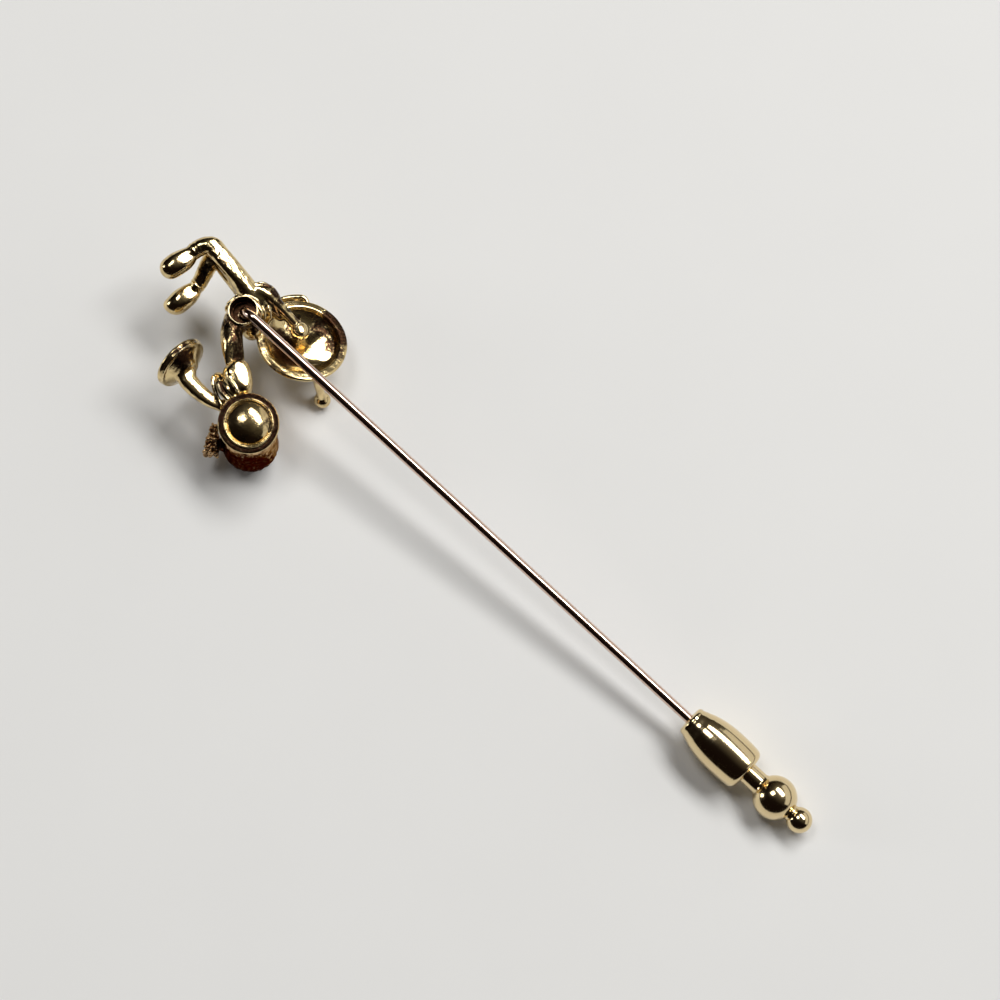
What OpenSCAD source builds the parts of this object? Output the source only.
// Stick pin: a small cast tumbling figure on a straight wire stick, with a sprung
// ball clutch pushed over the stick's point.
// The pin lies at rest on its back: +Z is up, the table is z = 0, and the stick runs
// along +X in plan. The origin is under the middle of the whole pin's box.

/* [Figure] */
// Size of the tumbling figure: every joint of its body is placed by a share of this
figure_size = 20; // [18:0.5:22]
// Thickness of a trouser leg: the other limbs are shares of this
limb_d = 1.9; // [1.7:0.05:2.2]
// Thickness of the coat round the hips
coat_d = 2.5; // [2.3:0.1:2.9]
// Thickness of the raised hem of the coat
hem_d = 0.5; // [0.4:0.05:0.7]
// Length of a boot from heel to toe
boot_len = 4.0; // [3.4:0.1:4.4]
// Thickness of a boot
boot_d = 2.1; // [1.8:0.1:2.4]

/* [Head and hat] */
// Width of the head
head_d = 5.1; // [4.6:0.1:5.6]
// Height of the head above the table, chin to crown
head_h = 7.4; // [6.8:0.1:8]
// Width of the hat over its rolled rim
hat_d = 5.5; // [5:0.1:6.2]
// Thickness of the hat's rolled rim
hat_roll_d = 0.75; // [0.6:0.05:0.9]
// Width of the hat's crown
crown_d = 3.7; // [3.4:0.1:3.9]
// Height of the crown's dome above the brim
crown_h = 0.55; // [0.4:0.05:0.8]
// Thickness of the ring in the crease between the crown and the brim
crease_d = 0.34; // [0.25:0.01:0.45]
// Size of one curl in the side tuft of hair
curl_d = 0.8; // [0.7:0.05:0.95]

/* [Dish] */
// Width of the round dish over its rim
dish_d = 8.4; // [8.1:0.1:8.7]
// Depth of the hollow of the dish
dish_depth = 1.2; // [1:0.1:1.5]
// Wall thickness of the dish
dish_wall = 0.5; // [0.4:0.05:0.7]
// Thickness of the dish's rounded rim
dish_roll_d = 0.85; // [0.7:0.05:1]
// Thickness of the peg under the dish
peg_d = 0.85; // [0.7:0.05:1]
// Width of the ball foot on the peg
peg_ball_d = 1.5; // [1.3:0.1:1.8]
// Thickness of the bar on the dish's far rim
bar_d = 0.85; // [0.7:0.05:1]
// Length of that bar
bar_len = 2.6; // [2.2:0.1:3]

/* [Horn] */
// Width of the horn's mouth
bell_d = 5.2; // [4.8:0.1:5.6]
// Length of the flare behind the mouth
bell_len = 1.6; // [1.4:0.1:1.8]
// Thickness of the flare's wall at the lip
bell_lip = 0.35; // [0.25:0.05:0.45]
// Thickness of the horn's tube
tube_d = 1.5; // [1.35:0.05:1.65]

/* [Stick] */
// Thickness of the wire
stick_d = 0.9; // [0.8:0.05:1]
// Length of the straight wire from its bend to its point
stick_len = 56.8; // [45:0.2:70]
// Length of the tapered point
point_len = 4.4; // [4.4:0.1:6]
// Width left at the very end of the point
point_d = 0.2; // [0.1:0.05:0.3]
// Radius of the bend where the wire turns into its socket
bend_r = 1.2; // [1.1:0.05:1.3]
// Height of the socket's mouth above the table
socket_z = 7.8; // [7.6:0.1:8.2]
// Width of the drilled hole in the socket
socket_hole_d = 2.4; // [2.2:0.1:2.6]
// How far the middle of that hole stands behind the stick's foot
socket_back = 0.15; // [0.05:0.05:0.3]
// Wall of the socket round the hole
socket_wall = 0.25; // [0.2:0.05:0.35]
// Depth of the drilled hole
socket_depth = 1.5; // [1.2:0.1:1.7]
// Depth of the narrow seat below it, which holds the stick's foot
seat_len = 0.8; // [0.6:0.1:1]
// Clearance between the stick and the socket's lip
lip_gap = 0.12; // [0.08:0.01:0.2]

/* [Clutch] */
// Length of the barrel
barrel_len = 6.9; // [6.6:0.1:7.6]
// Widest part of the barrel
barrel_d = 4.4; // [4.2:0.05:4.6]
// Width of the barrel's mouth
mouth_d = 3.0; // [2.8:0.1:3.4]
// Rounding of the barrel's far edge
barrel_round = 0.6; // [0.4:0.05:0.75]
// Length of stick that the barrel holds
grip_len = 4.2; // [3.6:0.1:4.4]
// Width of the plunger's neck
neck_d = 2.0; // [1.7:0.1:2.2]
// Distance from the barrel's end to the middle of the ball
ball_out = 3.35; // [3.2:0.05:3.8]
// Width of the ball
ball_d = 4.0; // [3.8:0.1:4.2]
// Distance from the ball to the small end ball
end_out = 2.9; // [2.7:0.1:3.2]
// Width of the short neck between the two balls
end_neck_d = 1.6; // [1.3:0.1:1.8]
// Width of the small end ball
end_ball_d = 2.35; // [2.1:0.05:2.6]
// How far the plunger can be pulled
pull = 1.0; // [0.7:0.1:1.2]
// Clearance all round the stick and the neck in their bores
fit_gap = 0.05; // [0.03:0.01:0.08]

/* [Hidden] */
gold = [0.83, 0.68, 0.38];

// Columns of the limb tables: shares of figure_size along, across and up, and of limb_d
along = 0;
across = 1;
up = 2;
thick = 3;

near_leg = [
  [-0.078, 0.093, 0.355, 1.05],
  [-0.174, 0.105, 0.385, 1.04],
  [-0.310, 0.124, 0.400, 0.96],
  [-0.343, 0.074, 0.395, 0.80],
  [-0.361, 0.020, 0.390, 0.92]
];
far_leg = [
  [-0.095, 0.085, 0.320, 1.00],
  [-0.305, 0.122, 0.338, 0.92],
  [-0.257, -0.007, 0.305, 0.76],
  [-0.265, -0.081, 0.280, 0.92]
];
// Boots: a row each, with the turn in plan from heel to toe
near_boot = [-0.361, 0.016, 0.390, 256];
far_boot = [-0.265, -0.081, 0.280, 262];
turn = 3;
boot_heel_share = 0.94;

arm = [
  [-0.028, 0.112, 0.342, 0.92],
  [ 0.020, 0.130, 0.332, 0.78],
  [ 0.066, 0.132, 0.312, 0.64],
  [ 0.176, 0.129, 0.264, 0.52]
];
fist = [0.212, 0.122, 0.241, 0.90];
// The fist stands on a plain post, out of sight, whose foot is this far from under it
post_step = [-0.020, 0.016, 0];
post_d = 0.42 * limb_d;
wrist_share = 0.7;

sleeve = [
  [-0.020, -0.050, 0.320, 1.10],
  [ 0.008, -0.095, 0.330, 1.08],
  [ 0.039, -0.128, 0.338, 1.06],
  [ 0.075, -0.159, 0.342, 1.02],
  [ 0.118, -0.187, 0.345, 0.99],
  [ 0.155, -0.207, 0.347, 1.08],
  [ 0.188, -0.228, 0.346, 1.10],
  [ 0.228, -0.255, 0.335, 0.86]
];
hand = [
  [ 0.218, -0.250, 0.325, 0.90],
  [ 0.182, -0.298, 0.330, 0.98],
  [ 0.218, -0.335, 0.315, 0.90]
];
finger = [
  [ 0.182, -0.298, 0.330, 0.90],
  [ 0.130, -0.294, 0.325, 0.74],
  [ 0.100, -0.303, 0.318, 0.44]
];
neck = [
  [ 0.212, -0.255, 0.300, 1.05],
  [ 0.330, -0.350, 0.270, 1.20]
];
// The horn's tube has its own thickness, so its last column holds shares of tube_d
horn = [
  [ 0.222, -0.368, 0.300, 0.84],
  [ 0.186, -0.382, 0.302, 0.74],
  [ 0.145, -0.392, 0.307, 0.88],
  [ 0.072, -0.398, 0.313, 1.06],
  [ 0.010, -0.391, 0.318, 1.14],
  [-0.009, -0.357, 0.323, 1.10]
];
bell_turn = -2;
bell_dip = 11;
// Outline of the flare: shares of its length from the tube, and of its width
bell_foot = 0.36;
bell_floor = 0.58;
bell_outer = [[0.10, 0.46], [0.28, 0.64], [0.46, 0.82], [0.60, 0.94], [0.70, 1.00]];
bell_inner = [[0.86, 0.66], [0.68, 0.26]];

// Lumps of the coat: the last column holds shares of coat_d
coat = [
  [-0.034,  0.008, 0.318, 1.00],
  [-0.027,  0.071, 0.320, 1.00],
  [-0.012,  0.118, 0.315, 0.98],
  [ 0.018,  0.010, 0.305, 1.02],
  [ 0.008,  0.040, 0.275, 1.00],
  [ 0.055, -0.020, 0.262, 0.90]
];
hem = [
  [-0.086, 0.000, 0.335, 1.0],
  [-0.077, 0.055, 0.357, 1.0],
  [-0.062, 0.106, 0.362, 1.0],
  [-0.033, 0.148, 0.357, 1.0],
  [-0.006, 0.156, 0.346, 1.0]
];

function place(row) = figure_size * [row[along], row[across], row[up]];

// The dish leans towards +Y, and its middle is a share of figure_size
dish_lean = -21;
dish_at = figure_size * [0.246, 0.098, 0.210];
dish_r = (dish_d - dish_roll_d) / 2;
// Sphere that hollows the dish, from its width and depth
dish_hollow_r = (dish_r * dish_r + dish_depth * dish_depth) / (2 * dish_depth);
dish_rise = dish_hollow_r - dish_depth;
// The wall stops this much inside the rolled rim
dish_rim_inset = 0.12 * dish_roll_d;
hollow_at = dish_at + dish_rise * [0, -sin(dish_lean), cos(dish_lean)];
// Height of the middle of the dish's wall above a point of the plan
function wall_z(p) = hollow_at[2] - sqrt(pow(dish_hollow_r + dish_wall / 2, 2)
  - pow(p[0] - hollow_at[0], 2) - pow(p[1] - hollow_at[1], 2));

// Where the peg and the bar sit round the dish's rim, from +X, and how far out and up
// from the rim's middle the bar lies
peg_turn = -26;
bar_turn = 140;
bar_at = dish_d / 2 - 0.12 * bar_d;
bar_rise = 0.12 * bar_d;
peg_foot = figure_size * [0.465, -0.014, 0] + [0, 0, peg_ball_d / 2];
peg_root_d = 1.1 * peg_d;

// The head stands on the table and leans a little under the hat
chin_at = [0.383 * figure_size, -0.395 * figure_size, head_d / 2];
crown_at = [0.370 * figure_size, -0.378 * figure_size, head_h - head_d / 2];
hat_at = [0.361 * figure_size, -0.358 * figure_size, head_h - hat_roll_d / 2];
hat_lean = [0, 8, 0];
crown_r = (crown_d * crown_d / 4 + crown_h * crown_h) / (2 * crown_h);
brim_drop = 0.5 * hat_roll_d;
brim_thick = 0.75 * hat_roll_d;
brim_top = brim_thick - brim_drop;

// Curls stand beside the head in a block, joined to it by one larger lump
curls_at = figure_size * [0.256, -0.508, 0.170];
curls_turn = -56;
curl_count = [4, 2, 2];
curl_step = curl_d * [0.93, 0.72, 0.86];
curl_join_at = figure_size * [0.300, -0.492, 0.170];
curl_join_d = 1.6 * curl_d;
// Each curl's size differs a little, in a fixed pattern
function curl_share(i, j, k) = 1.12 + 0.13 * sin(97 * i + 61 * j + 143 * k);

// The stick leaves its bend at the pitch that rests the clutch's ball on the table, and
// the bend clears the lip of the socket by lip_gap
lip_x = socket_hole_d / 2 - socket_back;
lip_reach = bend_r - stick_d / 2 - lip_gap;
bend_z = socket_z - sqrt(lip_reach * lip_reach - pow(bend_r - lip_x, 2));
reach = stick_len - grip_len + barrel_len + ball_out;
pitch = acos((ball_d / 2 - bend_z) / norm([bend_r, reach])) - atan2(reach, bend_r);
stick_start = [bend_r * (1 + sin(pitch)), 0, bend_z + bend_r * cos(pitch)];
socket_floor = socket_z - socket_depth;
socket_d = socket_hole_d + 2 * socket_wall;
socket_base = 0.4;
// The wire is drawn a little thinner in its bend, which runs this far into both ends
bend_d = 0.98 * stick_d;
bend_overrun = 3;

// Inside the barrel: a blind bore for the stick, then a chamber for the plunger's collar
bore_spare = 0.2;
bore_len = grip_len + bore_spare;
web = 0.3;
collar_lip = 0.35;
collar_d = neck_d + 2 * collar_lip;
collar_len = 0.5;
chamber_gap = 0.1;
chamber_d = collar_d + 2 * chamber_gap;
chamber_len = collar_len + pull + 2 * fit_gap;
chamber_at = bore_len + web;
// The barrel bulges to its widest at this share of its length
bulge_share = 0.72;

// The whole pin's box in plan: boot toe to end ball, and curls to dish
end_x = stick_start[0] + (reach + end_out) * cos(pitch) + end_ball_d / 2;
toe_x = near_boot[along] * figure_size + (boot_len - boot_d) * cos(near_boot[turn]) - boot_d / 2;
far_y = dish_at[1] + dish_d / 2 * cos(dish_lean);
low_y = curls_at[1] + 1.5 * curl_step[0] * sin(curls_turn) - curl_d;
middle = [(end_x + toe_x) / 2, (far_y + low_y) / 2, 0];

limb_fn = 12;
round_fn = 32;
ball_fn = 20;
small_fn = 8;
bore_fn = 64;
bell_fn = 28;
bulge_fn = 256;

// A swollen route: one ball at each row of its table, joined to the next
module route(rows, d) {
  for (i = [0 : len(rows) - 2])
    hull() {
      joint_ball(rows[i], d);
      joint_ball(rows[i + 1], d);
    }
}

module joint_ball(row, d, fn = limb_fn) {
  translate(place(row)) sphere(d = d * row[thick], $fn = fn);
}

module boot(row) {
  translate(place(row))
    rotate([0, 0, row[turn]])
      hull() {
        sphere(d = boot_d * boot_heel_share, $fn = limb_fn);
        translate([boot_len - boot_d, 0, 0]) sphere(d = boot_d, $fn = limb_fn);
      }
}

module legs() {
  route(near_leg, limb_d);
  route(far_leg, limb_d);
  boot(near_boot);
  boot(far_boot);
}

// The coat, its raised hem over the thighs, and the socket that stands on its back
module coat_body() {
  hull()
    for (row = coat) joint_ball(row, coat_d);
  for (i = [0 : len(hem) - 2])
    hull() {
      joint_ball(hem[i], hem_d, small_fn);
      joint_ball(hem[i + 1], hem_d, small_fn);
    }
  translate([-socket_back, 0, socket_floor - socket_base])
    cylinder(d = socket_d, h = socket_depth + socket_base, $fn = round_fn);
}

module arms() {
  route(arm, limb_d);
  joint_ball(fist, limb_d);
  route(sleeve, limb_d);
  route(hand, limb_d);
  route(finger, limb_d);
  route(neck, limb_d);
}

// The wrist, and the plain post from the fist down into the dish's wall
module hand_post() {
  route([arm[len(arm) - 1], [fist[along], fist[across], fist[up], wrist_share]], limb_d);
  foot = place(fist) + figure_size * post_step;
  hull() {
    translate(place(fist)) sphere(d = post_d, $fn = small_fn);
    translate([foot[0], foot[1], wall_z(foot)]) sphere(d = post_d, $fn = small_fn);
  }
}

// Bowl with a rounded rim, turned about its own axis
module dish() {
  translate(dish_at)
    rotate([dish_lean, 0, 0])
      rotate_extrude($fn = round_fn) {
        intersection() {
          difference() {
            translate([0, dish_rise]) circle(r = dish_hollow_r + dish_wall, $fn = bore_fn);
            translate([0, dish_rise]) circle(r = dish_hollow_r, $fn = bore_fn);
          }
          translate([0, -dish_d]) square([(dish_d - dish_rim_inset) / 2, dish_d]);
        }
        translate([dish_r, 0]) circle(d = dish_roll_d, $fn = small_fn);
      }
}

// A bar lies along the dish's rim, and a peg with a ball foot stands under it
module bar() {
  translate(dish_at)
    rotate([dish_lean, 0, 0])
      rotate([0, 0, bar_turn])
        translate([bar_at, 0, bar_rise])
          hull()
            for (side = [-1, 1])
              translate([0, side * (bar_len - bar_d) / 2, 0]) sphere(d = bar_d, $fn = limb_fn);
}

module rim_lug(turn, d) {
  translate(dish_at)
    rotate([dish_lean, 0, 0])
      rotate([0, 0, turn])
        translate([dish_r, 0, 0]) sphere(d = d, $fn = limb_fn);
}

module peg() {
  hull() {
    rim_lug(peg_turn, peg_root_d);
    translate(peg_foot) sphere(d = peg_d, $fn = limb_fn);
  }
  translate(peg_foot) sphere(d = peg_ball_d, $fn = ball_fn);
}

module horn_body() {
  route(horn, tube_d);
  translate(place(horn[len(horn) - 1]))
    rotate([0, 0, bell_turn])
      rotate([0, -90 - bell_dip, 0])
        rotate_extrude($fn = bell_fn)
          polygon(concat(
            [[0, 0], [bell_d / 2 * bell_foot, 0]],
            [for (p = bell_outer) [bell_d / 2 * p[1], bell_len * p[0]]],
            [[bell_d / 2, bell_len - bell_lip], [bell_d / 2, bell_len]],
            [[bell_d / 2 - bell_lip, bell_len]],
            [for (p = bell_inner) [bell_d / 2 * p[1], bell_len * p[0]]],
            [[0, bell_len * bell_floor]]
          ));
}

module head() {
  hull() {
    translate(chin_at) sphere(d = head_d, $fn = ball_fn);
    translate(crown_at) sphere(d = head_d * 0.96, $fn = ball_fn);
  }
}

// Round hat with a rolled rim, a crease inside it and a domed crown
module hat() {
  translate(hat_at)
    rotate(hat_lean)
      rotate_extrude($fn = round_fn) {
        translate([(hat_d - hat_roll_d) / 2, 0]) circle(d = hat_roll_d, $fn = small_fn);
        translate([0, -brim_drop]) square([(hat_d - hat_roll_d) / 2, brim_thick]);
        translate([crown_d / 2 + crease_d, brim_top]) circle(d = crease_d, $fn = small_fn);
        intersection() {
          translate([0, brim_top + crown_h - crown_r]) circle(r = crown_r, $fn = bore_fn);
          square([crown_d, 2 * crown_h]);
        }
      }
}

module curls() {
  translate(curls_at)
    rotate([0, 0, curls_turn])
      for (i = [0 : curl_count[0] - 1], j = [0 : curl_count[1] - 1], k = [0 : curl_count[2] - 1])
        translate([
          curl_step[0] * (i - (curl_count[0] - 1) / 2),
          curl_step[1] * (j - (curl_count[1] - 1) / 2 + 0.3 * (i % 2)),
          curl_step[2] * (k - (curl_count[2] - 1) / 2)
        ])
          sphere(d = curl_d * curl_share(i, j, k), $fn = small_fn);
  hull() {
    translate(curl_join_at) sphere(d = curl_join_d, $fn = limb_fn);
    translate(chin_at + [0, 0, curl_join_d / 2]) sphere(d = curl_join_d, $fn = limb_fn);
  }
}

// The cast figure is one piece of metal, drilled twice: a wide socket, then a seat in
// its floor that takes the foot of the stick
module figure() {
  color(gold)
    translate(-middle)
      difference() {
        union() {
          legs();
          coat_body();
          arms();
          hand_post();
          dish();
          bar();
          peg();
          horn_body();
          head();
          hat();
          curls();
        }
        translate([-socket_back, 0, socket_floor])
          cylinder(d = socket_hole_d, h = socket_depth + 1, $fn = round_fn);
        translate([0, 0, socket_floor - seat_len])
          cylinder(d = stick_d + 2 * fit_gap, h = seat_len + 1, $fn = round_fn);
      }
}

// Runs the children along the stick's axis, from the bend's end
module on_stick(distance) {
  translate(stick_start - middle)
    rotate([0, 90 + pitch, 0])
      translate([0, 0, distance]) children();
}

// Straight wire with a tapered point, bent down into the socket's floor
module stick() {
  foot_z = socket_floor - seat_len + fit_gap;
  color(gold) {
    on_stick(0) cylinder(d = stick_d, h = stick_len - point_len, $fn = bore_fn);
    on_stick(stick_len - point_len)
      cylinder(d1 = stick_d, d2 = point_d, h = point_len, $fn = bore_fn);
    translate([bend_r, 0, bend_z] - middle)
      rotate([-90, 0, 0])
        rotate([0, 0, 180 - bend_overrun])
          rotate_extrude(angle = 90 + pitch + 2 * bend_overrun, $fn = bore_fn)
            translate([bend_r, 0]) circle(d = bend_d, $fn = bore_fn);
    translate([0, 0, foot_z] - middle)
      cylinder(d = stick_d, h = bend_z - foot_z, $fn = bore_fn);
  }
}

// Outline of the barrel from mouth to far end, with a long bulge and a round far edge
module barrel_outline() {
  bulge_at = barrel_len * bulge_share;
  bulge = (barrel_d - mouth_d) / 2;
  bulge_r = (bulge * bulge + bulge_at * bulge_at) / (2 * bulge);
  end_r = barrel_d / 2 - bulge_r + sqrt(bulge_r * bulge_r - pow(barrel_len - bulge_at, 2));
  intersection() {
    translate([barrel_d / 2 - bulge_r, bulge_at]) circle(r = bulge_r, $fn = bulge_fn);
    union() {
      square([barrel_d, barrel_len - barrel_round]);
      square([end_r - barrel_round, barrel_len]);
      translate([end_r - barrel_round, barrel_len - barrel_round])
        circle(r = barrel_round, $fn = bore_fn);
    }
    square([barrel_d, barrel_len]);
  }
}

module clutch_barrel() {
  color(gold)
    on_stick(stick_len - grip_len)
      difference() {
        rotate_extrude($fn = bore_fn) barrel_outline();
        translate([0, 0, -1])
          cylinder(d = stick_d + 2 * fit_gap, h = bore_len + 1, $fn = bore_fn);
        translate([0, 0, chamber_at])
          cylinder(d = chamber_d, h = chamber_len, $fn = bore_fn);
        translate([0, 0, chamber_at])
          cylinder(d = neck_d + 2 * fit_gap, h = barrel_len, $fn = bore_fn);
      }
}

module clutch_plunger() {
  collar_at = chamber_at + fit_gap;
  color(gold)
    on_stick(stick_len - grip_len) {
      translate([0, 0, collar_at]) cylinder(d = collar_d, h = collar_len, $fn = bore_fn);
      translate([0, 0, collar_at])
        cylinder(d = neck_d, h = barrel_len + ball_out - collar_at, $fn = bore_fn);
      translate([0, 0, barrel_len + ball_out]) {
        sphere(d = ball_d, $fn = bore_fn);
        cylinder(d = end_neck_d, h = end_out, $fn = bore_fn);
        translate([0, 0, end_out]) sphere(d = end_ball_d, $fn = bore_fn);
      }
    }
}

figure();
stick();
clutch_barrel();
clutch_plunger();
